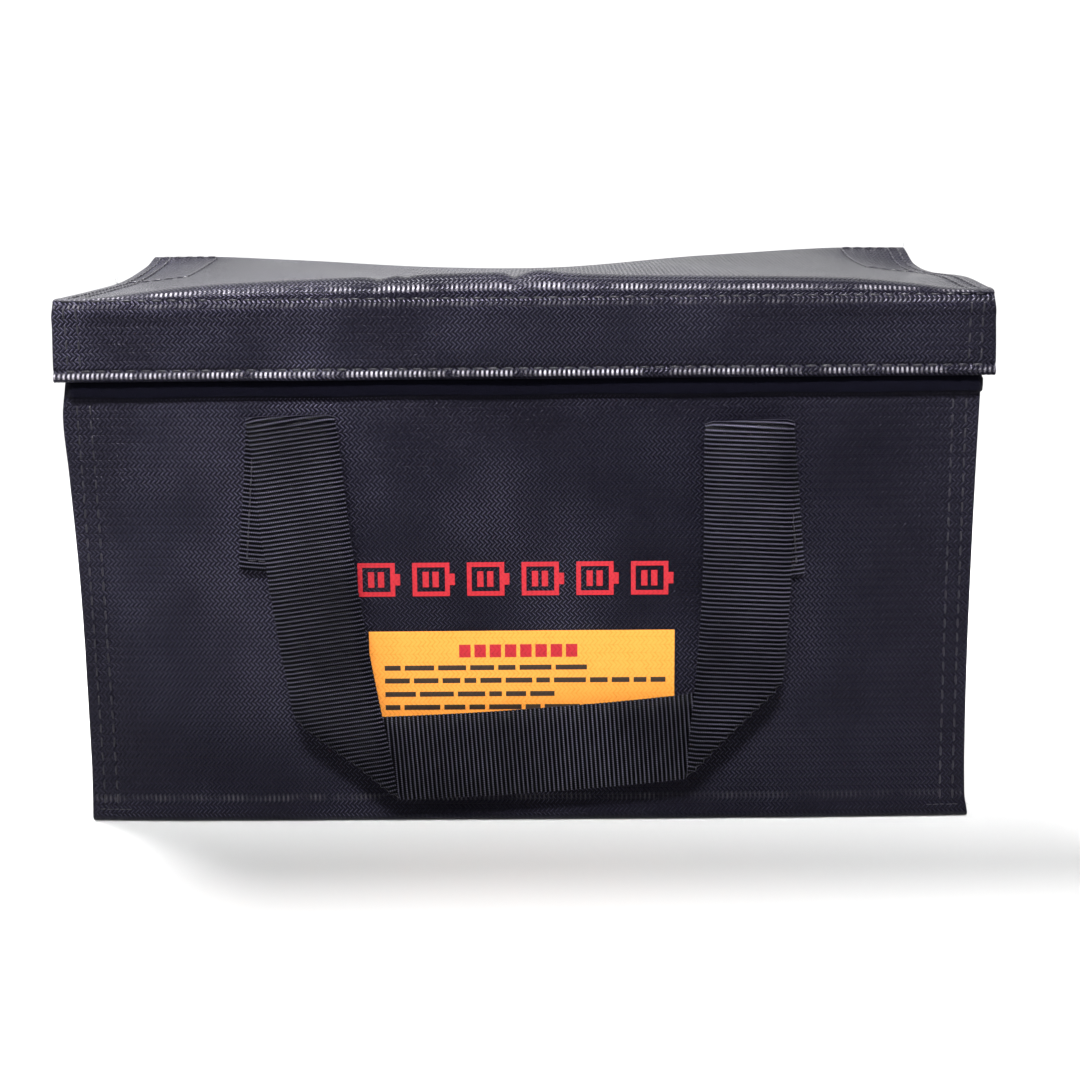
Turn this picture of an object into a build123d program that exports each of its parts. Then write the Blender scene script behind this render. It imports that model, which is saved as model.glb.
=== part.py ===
from build123d import *
import os

# Fire-resistant battery bag: a sewn box of coated glass cloth with a folding lid, a
# hook-and-loop closure and two webbing handles.  Millimetres: X runs across the front,
# -Y faces the front, +Z is up, and the origin is under the middle of the base.

# ---- driving dimensions ----
body_width = 260.0         # over the two side gussets
body_depth = 130.0         # over the front and rear walls
rim_height = 154.4         # top edge of the walls
cloth = 1.0                # coated glass cloth, folded edges included
lining = 0.8               # inner cloth
base_bend = 3.0            # outer radius where the wrap turns under the base
seam_flange = 10.0         # how far each gusset turns in behind the next panel
ply_gap = 0.1              # air between sewn plies

skirt_height = 24.4        # drop of the lid's skirt from the lid's top face
lid_lift = 0.4             # air between the rim and the plies under the lid
ridge_bend = 2.0           # outer radius of the lid's front ridge
patch_width = 22.0         # reinforcing patch at each rear corner of the lid
patch_length = 55.0

tape_height = 25.0         # loop tape on the body
tape_below_skirt = 5.1     # how much of it shows under the skirt
loop_pile = 0.8            # thickness of the loop tape
hook_tape = 0.7            # thickness of the hook tape
hook_height = 20.0
closure_gap = 0.4          # air between the two tapes
side_tape_rear = 35.0      # y where the tapes on the sides stop

web_width = 25.4           # handle webbing
web = 1.6                  # its thickness
tab_length = 44.0          # sewn-down end of the webbing
tab_lean = 5.0             # degrees that the tabs splay outwards
tab_centre_x = 69.2
tab_centre_z = 98.6
pivot_z = 121.0            # fold over which the hanging strap swings
pivot_stand = 4.2          # how far that fold stands out from the wall

thread = 0.5               # width of a line of stitches
thread_proud = 0.15
print_proud = 0.15

# ---- derived places ----
half_w = body_width / 2
half_d = body_depth / 2
closure = loop_pile + closure_gap + hook_tape
lid_half_w = half_w + closure + cloth
lid_front = -(half_d + closure + cloth)
lid_under = rim_height + lid_lift            # lowest face of the plies under the lid
lid_top_under = lid_under + cloth            # underside of the lid's top panel
lid_top = lid_top_under + cloth
skirt_low = lid_top - skirt_height
tape_low = skirt_low - tape_below_skirt
tape_high = tape_low + tape_height
leg_back = -(half_d + pivot_stand - web / 2)  # rear face of the hanging legs


def block(x, y, z):
    """A box between pairs of limits along X, Y and Z."""
    size = Box(x[1] - x[0], y[1] - y[0], z[1] - z[0])
    return Pos((x[0] + x[1]) / 2, (y[0] + y[1]) / 2, (z[0] + z[1]) / 2) * size


def tub(x, half_depth, floor, top, bend):
    """A box whose two lower long edges are rounded, as cloth bends under the base."""
    shape = block(x, (-half_depth, half_depth), (floor, top))
    return fillet(shape.edges().filter_by(Axis.X).group_by(Axis.Z)[0], radius=bend)


def flipped(shape):
    """The same piece on the other side of the bag."""
    return mirror(shape, about=Plane.YZ)


def turned(shape):
    """The same piece on the rear of the bag."""
    return Rot(0, 0, 180) * shape


def ring(x, y, z, inset):
    """A frame in the plane of X and Y, or of X and Z, one line of thread wide."""
    flat_in_y = (y[1] - y[0]) < (z[1] - z[0])
    hole_y = (y[0] - 1, y[1] + 1) if flat_in_y else (y[0] + inset, y[1] - inset)
    hole_z = (z[0] + inset, z[1] - inset) if flat_in_y else (z[0] - 1, z[1] + 1)
    return block(x, y, z) - block((x[0] + inset, x[1] - inset), hole_y, hole_z)


def save(name, shape):
    export_step(shape, f"parts/{name}.step")


def save_pair(name, left_shape):
    save(name + "_left", left_shape)
    save(name + "_right", flipped(left_shape))


os.makedirs("parts", exist_ok=True)

# ---- body: one strip forms the front, base and rear, and a gusset closes each side ----
above = rim_height + 5
wrap_in = half_d - cloth
flange_in = wrap_in - cloth
full_x = (-half_w, half_w)
outer_tub = tub(full_x, half_d, 0, rim_height, base_bend)
body_wrap = outer_tub - tub((-half_w - 1, half_w + 1), wrap_in, cloth, above, base_bend - cloth)
save("body_wrap", body_wrap)

panel_x = (-half_w, -half_w + cloth)
flange_x = (-half_w, -half_w + seam_flange)
panel = tub(panel_x, wrap_in, cloth, rim_height, base_bend - cloth)
flange = tub(flange_x, wrap_in, cloth, rim_height, base_bend - cloth)
flange -= tub((-half_w - 1, half_w), flange_in, 2 * cloth, above, base_bend - 2 * cloth)
save_pair("side_gusset", panel + flange)

# ---- lining: the same cut again, inside the seam flanges ----
lining_out = flange_in - ply_gap
lining_in = lining_out - lining
lining_floor = 2 * cloth + ply_gap
lining_half_w = half_w - cloth - ply_gap
lining_x = (-lining_half_w, lining_half_w)
lining_wrap = tub(lining_x, lining_out, lining_floor, rim_height, 1.5)
lining_wrap -= tub((-half_w, half_w), lining_in, lining_floor + lining, above, 0.7)
save("lining_wrap", lining_wrap)

lining_side_x = (-lining_half_w, -lining_half_w + lining)
lining_side_floor = lining_floor + lining + ply_gap
save_pair("lining_side", tub(lining_side_x, lining_in - ply_gap, lining_side_floor, rim_height, 0.6))

# ---- loop tape: round the front and both sides, just under the rim ----


def collar(thickness, z, rear):
    """A flat band round the outside of the front and both sides."""
    outside = block((-half_w - thickness, half_w + thickness), (-half_d - thickness, rear), z)
    return outside - block(full_x, (-half_d, rear + 1), (z[0] - 1, z[1] + 1))


save("loop_tape", collar(loop_pile, (tape_low, tape_high), side_tape_rear))

tape_rows = []
for row_z in (tape_low + 2, tape_high - 2):
    face = -(half_d + loop_pile)
    row_height = (row_z - thread / 2, row_z + thread / 2)
    tape_rows.append(block((-half_w, half_w), (face - thread_proud, face), row_height))
save("loop_tape_threads", Compound(children=tape_rows))

rim_row_z = rim_height - 1.2
save("rim_threads", collar(thread_proud, (rim_row_z - thread / 2, rim_row_z + thread / 2), half_d - 5))

# ---- seams of the body ----
seam_rows = []
for side in (-1, 1):
    for inset in (3.8, 7.6):
        row_x = side * (half_w - inset)
        row = block((row_x - thread / 2, row_x + thread / 2), (-half_d - thread_proud, -half_d),
                    (base_bend + 1.5, tape_low - 0.8))
        seam_rows.append(row)
        seam_rows.append(turned(row))
save("corner_seam_threads", Compound(children=seam_rows))

tack_rows = []
for side in (-1, 1):
    tack_x = sorted((side * (half_w - 11), side * (half_w - 2)))
    tack = block(tack_x, (-half_d - thread_proud, -half_d), (base_bend + 0.2, base_bend + 0.2 + thread))
    tack_rows.append(tack)
    tack_rows.append(turned(tack))
save("base_corner_threads", Compound(children=tack_rows))

# ---- printed marks on the front: a heat-warning panel and a row of battery outlines ----
print_y = (-half_d - print_proud, -half_d)
save("label_print", block((-46.4, 43.6), print_y, (27, 58)))

mark_count = 6
mark_pitch = 16.0
mark_left = -49.2
cells = []
for index in range(mark_count):
    cell_x = mark_left + index * mark_pitch
    cells.append(block((cell_x, cell_x + 12.4), print_y, (68.6, 78.6)))
save("mark_print", Compound(children=cells))

# ---- lid: the strip carries on over the top and down as the front skirt ----
lid_x = (-lid_half_w, lid_half_w)
lid_y = (lid_front, half_d)


def ridge(x, y, z, bend):
    """A box whose upper front edge is rounded."""
    shape = block(x, y, z)
    edge = shape.edges().filter_by(Axis.X).group_by(Axis.Z)[-1].sort_by(Axis.Y)[0]
    return fillet(edge, radius=bend)


hollow_y = (lid_front + cloth, half_d + 1)
hollow = ridge((-lid_half_w - 1, lid_half_w + 1), hollow_y, (skirt_low - 1, lid_top_under), ridge_bend - cloth)
save("lid_wrap", ridge(lid_x, lid_y, (skirt_low, lid_top), ridge_bend) - hollow)

skirt_y = (lid_front + cloth, half_d)
side_skirt = ridge((-lid_half_w, -lid_half_w + cloth), skirt_y, (skirt_low, lid_top_under), ridge_bend - cloth)
inner_x = -lid_half_w + cloth
patch_front = half_d - patch_length
side_flange = block((inner_x, inner_x + seam_flange), (lid_front + 2 * cloth, patch_front - ply_gap),
                    (lid_under, lid_top_under))
save_pair("lid_side_skirt", side_skirt + side_flange)

patch_x = (inner_x, inner_x + patch_width)
save_pair("lid_corner_patch", block(patch_x, (patch_front, half_d), (lid_under, lid_top_under)))

lining_z = (lid_under + ply_gap, lid_under + ply_gap + lining)
wide = -inner_x - seam_flange - ply_gap
narrow = -inner_x - patch_width - ply_gap
lid_lining = block((-wide, wide), (lid_front + 3 * cloth, patch_front - ply_gap), lining_z)
lid_lining += block((-narrow, narrow), (patch_front - ply_gap, half_d - 1), lining_z)
save("lid_lining", lid_lining)

hook_z = (skirt_low + 1, skirt_low + 1 + hook_height)
hook_y = (lid_front + cloth, lid_front + cloth + hook_tape)
save("hook_tape_front", block((-half_w + 1, half_w - 1), hook_y, hook_z))
save_pair("hook_tape", block((inner_x, inner_x + hook_tape), (-half_d + 3, side_tape_rear - 5), hook_z))

# ---- seams of the lid ----
edge_rows = []
end_rows = []
for side in (-1, 1):
    for inset in (3.5, 7.0):
        row_x = side * (lid_half_w - inset)
        row_span = (row_x - thread / 2, row_x + thread / 2)
        edge_rows.append(block(row_span, (lid_front + 4, patch_front - 2), (lid_top, lid_top + thread_proud)))
        end_rows.append(block(row_span, (lid_front - thread_proud, lid_front), (skirt_low + 5, lid_top - 4)))
for row_z in (lid_top - 2.3, skirt_low + 3.2):
    end_rows.append(block((-lid_half_w + 1, lid_half_w - 1), (lid_front - thread_proud, lid_front),
                          (row_z - thread / 2, row_z + thread / 2)))
save("lid_edge_threads", Compound(children=edge_rows))
save("lid_skirt_threads", Compound(children=end_rows))

patch_ring = ring((inner_x + 1.5, inner_x + patch_width - 1), (patch_front + 1, half_d - 2),
                  (lid_top, lid_top + thread_proud), thread)
save("patch_threads", Compound(children=[patch_ring, flipped(patch_ring)]))

# ---- handles: a sewn tab at each end, and a hanging strap that folds back at its corners ----
tab_y = (-half_d - web, -half_d)
tab_flat = block((-web_width / 2, web_width / 2), tab_y, (-tab_length / 2, tab_length / 2))
stitch_y = (tab_y[0] - thread_proud, tab_y[0])
stitch_half = web_width / 2 - 2.2
stitch_high = tab_length / 2 - 3
tab_ring = ring((-stitch_half, stitch_half), stitch_y, (-stitch_high, stitch_high), thread)
tab_place = Pos(-tab_centre_x, 0, tab_centre_z) * Rot(0, tab_lean, 0)
tab_left = tab_place * tab_flat
stitch_left = tab_place * tab_ring
save_pair("front_handle_tab", tab_left)
save_pair("rear_handle_tab", mirror(tab_left, about=Plane.XZ))
front_stitches = [stitch_left, flipped(stitch_left)]
save("front_tab_threads", Compound(children=front_stitches))
save("rear_tab_threads", Compound(children=[turned(piece) for piece in front_stitches]))

# Centre line of the strap in X and Z, seen from the front: down, across and up again.
strap_line = [Vector(-65.9, pivot_z), Vector(-50.4, 20.8), Vector(58.1, 28.4), Vector(64.3, pivot_z)]


def crossing(p, d, q, e):
    """Where the line through p along d meets the line through q along e."""
    reach = ((q.X - p.X) * e.Y - (q.Y - p.Y) * e.X) / (d.X * e.Y - d.Y * e.X)
    return p + d * reach


def strap_run(start, finish, cut_start, cut_finish, back):
    """One straight run of webbing between two cut lines, with its rear face at y = back."""
    along = (finish - start).normalized()
    across = Vector(-along.Y, along.X) * (web_width / 2)
    corners = []
    for point, cut, sides in ((start, cut_start, (1, -1)), (finish, cut_finish, (-1, 1))):
        for side in sides:
            corners.append(crossing(point + across * side, along, point, cut))
    outline = make_face(Polyline(*[(c.X, c.Y) for c in corners], close=True))
    return Pos(0, back, 0) * extrude(Plane.XZ * outline, amount=web)


def handle_strap():
    """Both legs lie in front of the grip, and each corner is folded along a diagonal."""
    top_left, low_left, low_right, top_right = strap_line
    down = (low_left - top_left).normalized()
    across = (low_right - low_left).normalized()
    up = (top_right - low_right).normalized()
    level = Vector(1, 0)
    raise_top = Vector(0, web / 2)
    legs = strap_run(top_left + raise_top, low_left, level, down + across, leg_back)
    legs += strap_run(low_right, top_right + raise_top, across + up, level, leg_back)
    grip = strap_run(low_left, low_right, down + across, across + up, leg_back + web)
    return legs + grip


strap = handle_strap()
save("front_handle_strap", strap)
save("rear_handle_strap", turned(strap))
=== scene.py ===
import bpy
import math
import random
import numpy as np
from mathutils import Matrix, Vector


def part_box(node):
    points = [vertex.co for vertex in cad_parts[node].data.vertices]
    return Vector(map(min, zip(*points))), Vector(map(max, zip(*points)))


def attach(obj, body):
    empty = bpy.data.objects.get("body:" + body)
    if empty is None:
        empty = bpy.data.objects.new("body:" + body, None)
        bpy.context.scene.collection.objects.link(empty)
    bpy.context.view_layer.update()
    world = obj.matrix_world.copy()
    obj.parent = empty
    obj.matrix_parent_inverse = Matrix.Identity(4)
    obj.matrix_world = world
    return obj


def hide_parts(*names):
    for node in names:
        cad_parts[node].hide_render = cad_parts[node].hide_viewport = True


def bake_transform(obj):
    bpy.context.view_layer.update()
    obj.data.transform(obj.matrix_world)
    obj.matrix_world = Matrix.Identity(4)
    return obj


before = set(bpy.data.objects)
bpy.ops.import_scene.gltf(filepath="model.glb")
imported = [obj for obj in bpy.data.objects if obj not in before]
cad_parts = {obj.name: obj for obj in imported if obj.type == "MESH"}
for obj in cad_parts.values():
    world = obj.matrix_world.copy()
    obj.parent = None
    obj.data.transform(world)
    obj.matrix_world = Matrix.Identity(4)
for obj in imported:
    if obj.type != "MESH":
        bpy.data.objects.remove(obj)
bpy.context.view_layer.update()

# ==== Body wrap =====================================================================
# One strip of coated glass cloth makes the front, the base and the rear of the bag, with
# soft bends and no seams along the base.  Its side edges are sewn over the gussets and
# stand a little proud of them, so the two rows of stitches pull a shallow groove.
mm = 0.001
cloth = 1.0                     # thickness of every ply, mm
stitch_pitch = 4.3
body_rows = (3.8, 7.6)          # stitch rows, from the strip's side edge
base_bend = 1.8
base_kick = 3.0                 # how far the front wall kicks out just above the base
kick_fade = 8                   # height over which that dies away
wrap_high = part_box("body_wrap")[1] / mm
half_d = wrap_high.y
rim = wrap_high.z - 2.4         # the cloth settles a little below its cut height
strip_join = 140.0              # above this the rear wall is part of the lid's strip


def profile(*points):
    """A smooth line through a few (place, height) pairs, level beyond both ends."""
    place = np.array([p for p, h in points], float)
    height = np.array([h for p, h in points], float)
    slope = np.zeros(len(place))
    slope[1:-1] = (height[2:] - height[:-2]) / (place[2:] - place[:-2])

    def read(where):
        where = np.clip(np.asarray(where, float), place[0], place[-1])
        i = np.clip(np.searchsorted(place, where) - 1, 0, len(place) - 2)
        span = place[i + 1] - place[i]
        t = (where - place[i]) / span
        rise = (2 * t**3 - 3 * t**2 + 1) * height[i] + (3 * t**2 - 2 * t**3) * height[i + 1]
        return rise + span * ((t**3 - 2 * t**2 + t) * slope[i] + (t**3 - t**2) * slope[i + 1])

    return read


def hump(x, centre, width):
    """A rounded bump of height 1."""
    return np.exp(-(((x - centre) / width) ** 2))


def lines(*stretches):
    """Grid lines along one direction: (from, to, number of cells) for each stretch."""
    cut = [np.linspace(a, b, n + 1)[:-1] for a, b, n in stretches]
    return np.concatenate(cut + [[stretches[-1][1]]])


def deselect():
    if bpy.context.object and bpy.context.object.mode != "OBJECT":
        bpy.ops.object.mode_set(mode="OBJECT")
    bpy.ops.object.select_all(action="DESELECT")


def apply_all(piece):
    bpy.context.view_layer.objects.active = piece
    for modifier in list(piece.modifiers):
        bpy.ops.object.modifier_apply(modifier=modifier.name)


def cloth_panel(name, points, cut, thickness=cloth):
    """A panel from its outer face: points[row, column] in mm, and the same place on the
    flat cut cloth for the weave to follow.  Rows and columns turn outwards by the
    right-hand rule, and the thickness goes inwards."""
    rows, columns = points.shape[:2]
    deselect()
    bpy.ops.mesh.primitive_grid_add(x_subdivisions=columns - 1, y_subdivisions=rows - 1, size=1)
    panel = bpy.context.object
    panel.name = name
    mesh = panel.data
    mesh.vertices.foreach_set("co", (points.reshape(-1, 3) * mm).astype(np.float32).ravel())
    corner = np.zeros(len(mesh.loops), int)
    mesh.loops.foreach_get("vertex_index", corner)
    layer = mesh.uv_layers[0]
    layer.uv.foreach_set("vector", (cut.reshape(-1, 2)[corner] * mm).astype(np.float32).ravel())
    mesh.update()
    if thickness:
        ply = panel.modifiers.new("Ply", "SOLIDIFY")
        ply.thickness = thickness * mm
        ply.offset = -1
        apply_all(panel)
    bpy.ops.object.shade_smooth_by_angle(angle=math.radians(50))
    return panel


def shader(name, **sockets):
    """A new material and the three things that its section adds nodes with."""
    material = bpy.data.materials.new(name)
    material.use_nodes = True
    tree = material.node_tree
    surface = tree.nodes["Principled BSDF"]
    for socket, value in sockets.items():
        surface.inputs[socket.replace("_", " ")].default_value = value

    def math_node(operation, a, b=None, c=None):
        made = tree.nodes.new("ShaderNodeMath")
        made.operation = operation
        for place, value in enumerate((a, b, c)):
            if isinstance(value, bpy.types.NodeSocket):
                tree.links.new(value, made.inputs[place])
            elif value is not None:
                made.inputs[place].default_value = value
        return made.outputs[0]

    return material, tree, surface, math_node


def flat_cloth_place(tree):
    """Where a point lies on the cut cloth, in mm: across, along."""
    uv = tree.nodes.new("ShaderNodeUVMap")
    parts = tree.nodes.new("ShaderNodeSeparateXYZ")
    scale = tree.nodes.new("ShaderNodeVectorMath")
    scale.operation = "SCALE"
    scale.inputs["Scale"].default_value = 1 / mm
    tree.links.new(uv.outputs[0], scale.inputs[0])
    tree.links.new(scale.outputs[0], parts.inputs[0])
    return parts.outputs[0], parts.outputs[1]


def noise(tree, scale, detail=2.0, rough=0.5):
    """Noise in the object's own space; scale is in cells per metre."""
    place = tree.nodes.new("ShaderNodeTexCoord")
    made = tree.nodes.new("ShaderNodeTexNoise")
    made.inputs["Scale"].default_value = scale
    made.inputs["Detail"].default_value = detail
    made.inputs["Roughness"].default_value = rough
    tree.links.new(place.outputs["Object"], made.inputs["Vector"])
    return made.outputs[0]


def ramp(tree, value, low, high, dark, light):
    """Colour from dark to light as value goes from low to high."""
    spread = tree.nodes.new("ShaderNodeMapRange")
    spread.inputs["From Min"].default_value = low
    spread.inputs["From Max"].default_value = high
    tree.links.new(value, spread.inputs["Value"])
    mix = tree.nodes.new("ShaderNodeMix")
    mix.data_type = "RGBA"
    mix.inputs[6].default_value = (*dark, 1)
    mix.inputs[7].default_value = (*light, 1)
    tree.links.new(spread.outputs[0], mix.inputs[0])
    return mix.outputs[2]


def number_ramp(tree, value, low, high, start, end):
    """A number that goes from start to end as value goes from low to high."""
    spread = tree.nodes.new("ShaderNodeMapRange")
    for socket, number in zip(("From Min", "From Max", "To Min", "To Max"), (low, high, start, end)):
        spread.inputs[socket].default_value = number
    tree.links.new(value, spread.inputs["Value"])
    return spread.outputs[0]


def bump(tree, surface, height, depth):
    """Relief for a material; depth is in mm for a height of 1."""
    made = tree.nodes.new("ShaderNodeBump")
    made.inputs["Strength"].default_value = 1
    made.inputs["Distance"].default_value = depth * mm
    tree.links.new(height, made.inputs["Height"])
    tree.links.new(made.outputs[0], surface.inputs["Normal"])


yarn_pitch = 1.37               # of the leaning yarns, across the cloth
yarn_row = 1.215                # and the height of each row of them


def chevron_weave(tree, math_node):
    """The leaning yarns that show through the coating: two rows of them make one arrow row,
    with a deeper groove between arrow rows.  Gives their height, 0 to 1, and a mask for a
    painted highlight along the upper edge of each one."""
    def rounded(middle, sharp):
        """1 at the middle and 0 half a unit away, squarer as sharp goes up."""
        away = math_node("ABSOLUTE", math_node("MULTIPLY", middle, 2.0))
        return math_node("SUBTRACT", 1.0, math_node("POWER", away, sharp))

    across, along = flat_cloth_place(tree)
    level = math_node("DIVIDE", along, yarn_row)
    step = math_node("FLOOR", level)
    in_row = math_node("SUBTRACT", math_node("FRACT", level), 0.5)
    lean = math_node("MULTIPLY_ADD", math_node("FLOORED_MODULO", step, 2), 2.0, -1.0)
    shifted = math_node("MULTIPLY_ADD", math_node("MULTIPLY", lean, in_row), 0.85,
                        math_node("DIVIDE", across, yarn_pitch))
    in_yarn = math_node("SUBTRACT", math_node("FRACT", shifted), 0.5)
    crown = rounded(in_yarn, 2.4)
    belly = rounded(in_row, 7.0)
    pair = math_node("SUBTRACT", math_node("FRACT", math_node("DIVIDE", along, 2 * yarn_row)), 0.5)
    groove = rounded(pair, 14.0)
    yarns = math_node("MULTIPLY", crown, math_node("MULTIPLY_ADD", belly, 0.5, 0.5))
    height = math_node("MULTIPLY", yarns, math_node("MULTIPLY_ADD", groove, 0.5, 0.5))
    # Painted highlight: a thin bright stripe along each yarn's upper edge, where an overhead light would
    # glint.
    upper = math_node("ABSOLUTE", math_node("MULTIPLY_ADD", in_yarn, lean, -0.26))
    painted_glint = math_node("MAXIMUM", math_node("MULTIPLY_ADD", upper, -7.0, 1.0), 0.0)
    return height, math_node("MULTIPLY", painted_glint, belly)


def coated_cloth(name, folds=()):
    """Glass cloth under a thin dark coating.  Its colour carries painted light: a tint lighter to the
    left and darker to the right, painted glints along the upper edge of each yarn, and painted highlight
    beads on the yarn crowns, both fading to the right.  folds are the places along the cut cloth
    where a fold gets a row of these beads: each is (place, half width, strength), the first two in mm."""
    material, tree, surface, math_node = shader(
        name, Specular_IOR_Level=0.10, Specular_Tint=(0.80, 0.77, 1.0, 1))
    weave, painted_glint = chevron_weave(tree, math_node)
    height = math_node("MULTIPLY_ADD", noise(tree, 700.0), 0.10, weave)
    height = math_node("MULTIPLY_ADD", noise(tree, 45.0, 3.0), 0.9, height)
    bump(tree, surface, height, 0.24)
    place = tree.nodes.new("ShaderNodeTexCoord")
    parts = tree.nodes.new("ShaderNodeSeparateXYZ")
    tree.links.new(place.outputs["Object"], parts.inputs[0])
    tone_and_highlight = math_node("MULTIPLY_ADD", noise(tree, 14.0), 0.4, math_node("MULTIPLY", weave, 0.5))
    # Painted light: this makes the tint lighter on the left and darker on the right.
    tone_and_highlight = math_node("ADD", tone_and_highlight, number_ramp(tree, parts.outputs[0], -0.12, 0.0, 0.09, -0.04))
    # Painted glints, stronger in some patches than others and fading towards the right.
    glint_strength = number_ramp(tree, noise(tree, 22.0, 3.0), 0.35, 0.65, 0.15, 0.92)
    painted_glint = math_node("MULTIPLY", painted_glint, number_ramp(tree, parts.outputs[0], 0.02, 0.12, 1.0, 0.6))
    tone_and_highlight = math_node("POWER", math_node("MULTIPLY_ADD", painted_glint, glint_strength, tone_and_highlight), 4.0)
    tint = ramp(tree, tone_and_highlight, 0.0, 2.6, (0.0005, 0.0004, 0.0020), (0.085, 0.079, 0.122))
    across, along = flat_cloth_place(tree)
    # Painted highlight beads on the yarn crowns, in patches and fading towards the right; each of folds lays
    # them along one row.
    highlight_fade_right = number_ramp(tree, parts.outputs[0], -0.06, 0.10, 1.0, 0.45)
    in_yarn = math_node("FRACT", math_node("DIVIDE", across, yarn_pitch))
    off_yarn = math_node("ABSOLUTE", math_node("SUBTRACT", in_yarn, 0.5))
    crown = math_node("MAXIMUM", math_node("MULTIPLY_ADD", off_yarn, -3.4, 1.0), 0.0)
    patches = number_ramp(tree, noise(tree, 130.0, 4.0), 0.38, 0.62, 0.0, 1.0)
    painted_bead = math_node("MULTIPLY", math_node("POWER", crown, 0.7), math_node("MULTIPLY", highlight_fade_right, patches))
    for middle, half_width, strength in folds:
        away = math_node("DIVIDE", math_node("SUBTRACT", along, middle), half_width)
        fall = math_node("POWER", math_node("ABSOLUTE", away), 2.0)
        near = math_node("MAXIMUM", math_node("SUBTRACT", 1.0, fall), 0.0)
        highlight_mix = tree.nodes.new("ShaderNodeMix")
        highlight_mix.data_type = "RGBA"
        tree.links.new(math_node("MULTIPLY", painted_bead, near), highlight_mix.inputs[0])
        tree.links.new(tint, highlight_mix.inputs[6])
        highlight_mix.inputs[7].default_value = (strength, 0.95 * strength, 1.06 * strength, 1)
        tint = highlight_mix.outputs[2]
    tree.links.new(tint, surface.inputs["Base Color"])
    haze = math_node("MULTIPLY_ADD", noise(tree, 60.0, 3.0), 0.25, math_node("MULTIPLY", weave, -1.0))
    tree.links.new(number_ramp(tree, haze, -0.85, -0.15, 0.20, 0.46), surface.inputs["Roughness"])
    return material


coated = coated_cloth("Coated_glass_cloth")
left_edge = profile((0, 130.9), (20, 130.7), (70, 131.0), (105, 132.2), (122, 132.9), (134, 131.3),
                    (rim, 130.9))
right_edge = profile((0, 131.5), (7, 130.6), (45, 130.1), (90, 130.2), (rim, 130.8))
columns = lines((-1, -0.925, 13), (-0.925, 0.925, 96), (0.925, 1, 13))


def strip_edge(z, x):
    """Half width of the strip at a height, on the side that x is on."""
    return np.where(np.asarray(x) < 0, left_edge(z), right_edge(z))


def seam_groove(inset, along, rows=body_rows, deep=0.35):
    """How far the stitches pull the cloth in, at a distance from the side edge."""
    pull = 0.75 + 0.25 * np.cos(2 * math.pi * along / stitch_pitch)
    return -deep * pull * sum(hump(inset, row, 0.7) for row in rows)


base_lean = profile((0, 3.2), (25, 2.6), (60, 1.1), (110, 0), (rim, 0))


def front_lean(z):
    """How far the front wall's side edges lean out over the base."""
    return base_lean(z) + 0.6 * base_kick * np.exp(-np.maximum(z - base_bend, 0) / kick_fade)


wall_belly = profile((0, 0), (14, 0.75), (60, 1.0), (100, 0.7), (121, 0.45), (rim, 0.15))


def front_out(x, z):
    """How far the front wall's face stands out from its flat cut, in mm."""
    inset = strip_edge(z, x) - np.abs(x)
    soft = 0.3 * np.sin(x / 31 + 0.6) * np.sin(z / 23 + 0.8) + 0.18 * np.sin(x / 17 - z / 29)
    drag = 1.3 * hump(x - 0.9 * (z - 78), -99, 6) * hump(z, 72, 16)
    dent = -1.1 * hump(x, -108, 12) * hump(z, 92, 20) - 0.6 * hump(x, 112, 10) * hump(z, 70, 50)
    free = np.clip((np.abs(x) - 60) / 50, 0.35, 1) * np.clip((126 - z) / 30, 0, 1)
    kick = base_kick * np.exp(-np.maximum(z - base_bend, 0) / kick_fade) * (1 - np.exp(-inset / 20))
    flare = front_lean(z) + 0.4 * kick
    belly = wall_belly(z) * (1 - np.exp(-inset / 14))
    return belly + flare + (soft + drag + dent) * free + seam_groove(inset, z)


def rear_out(x, z):
    """The same for the rear wall."""
    inset = strip_edge(z, x) - np.abs(x)
    soft = 0.35 * np.sin(x / 37 + 1.9) * np.sin(z / 21 + 0.3)
    free = np.clip((np.abs(x) - 60) / 50, 0.35, 1) * np.clip((126 - z) / 30, 0, 1)
    return wall_belly(z) * (1 - np.exp(-inset / 16)) + soft * free + seam_groove(inset, z)


stations = []                   # y, z, outward y, distance along the strip
for z in lines((strip_join, 8, 54), (8, base_bend, 4)):
    stations.append((half_d, z, 1, strip_join - z))
for side in (1, -1):
    for step in range(1, 8):
        turn = math.radians(90 * step / 8) if side > 0 else math.radians(90 - 90 * step / 8)
        y = side * (half_d - base_bend + base_bend * math.cos(turn))
        z = base_bend - base_bend * math.sin(turn)
        bend_start = strip_join - base_bend if side > 0 else strip_join + 2 * half_d - 2.5 * base_bend
        stations.append((y, z, side * math.cos(turn), bend_start + 0.69 * step))
    if side > 0:
        for y in lines((half_d - base_bend, base_bend - half_d, 40)):
            stations.append((y, 0, 0, strip_join + half_d - y - 1.5 * base_bend))
for z in lines((base_bend, 12, 10), (12, 124, 62), (124, rim, 10)):
    stations.append((-half_d, z, -1, strip_join + 2 * half_d - 3 * base_bend + z))

wrap_points = np.zeros((len(stations), len(columns), 3))
wrap_cut = np.zeros((len(stations), len(columns), 2))
for row, (y, z, out_y, along) in enumerate(stations):
    x = columns * strip_edge(z, columns)
    if y > half_d - base_bend:
        out = rear_out(x, z) * abs(out_y) ** 1.5
    else:
        forward = np.clip((-y - 20) / (half_d - base_bend - 20), 0, 1)
        out = -front_out(x, max(z, base_bend)) * forward ** 2
    wrap_points[row] = np.stack([x, y + out, z + 0 * x + 0.02], axis=1)
    wrap_cut[row] = np.stack([x, 0 * x + along], axis=1)
body_cloth = cloth_panel("Body_wrap_cloth", wrap_points, wrap_cut)
wall_start = strip_join + 2 * half_d - 3 * base_bend
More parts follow.
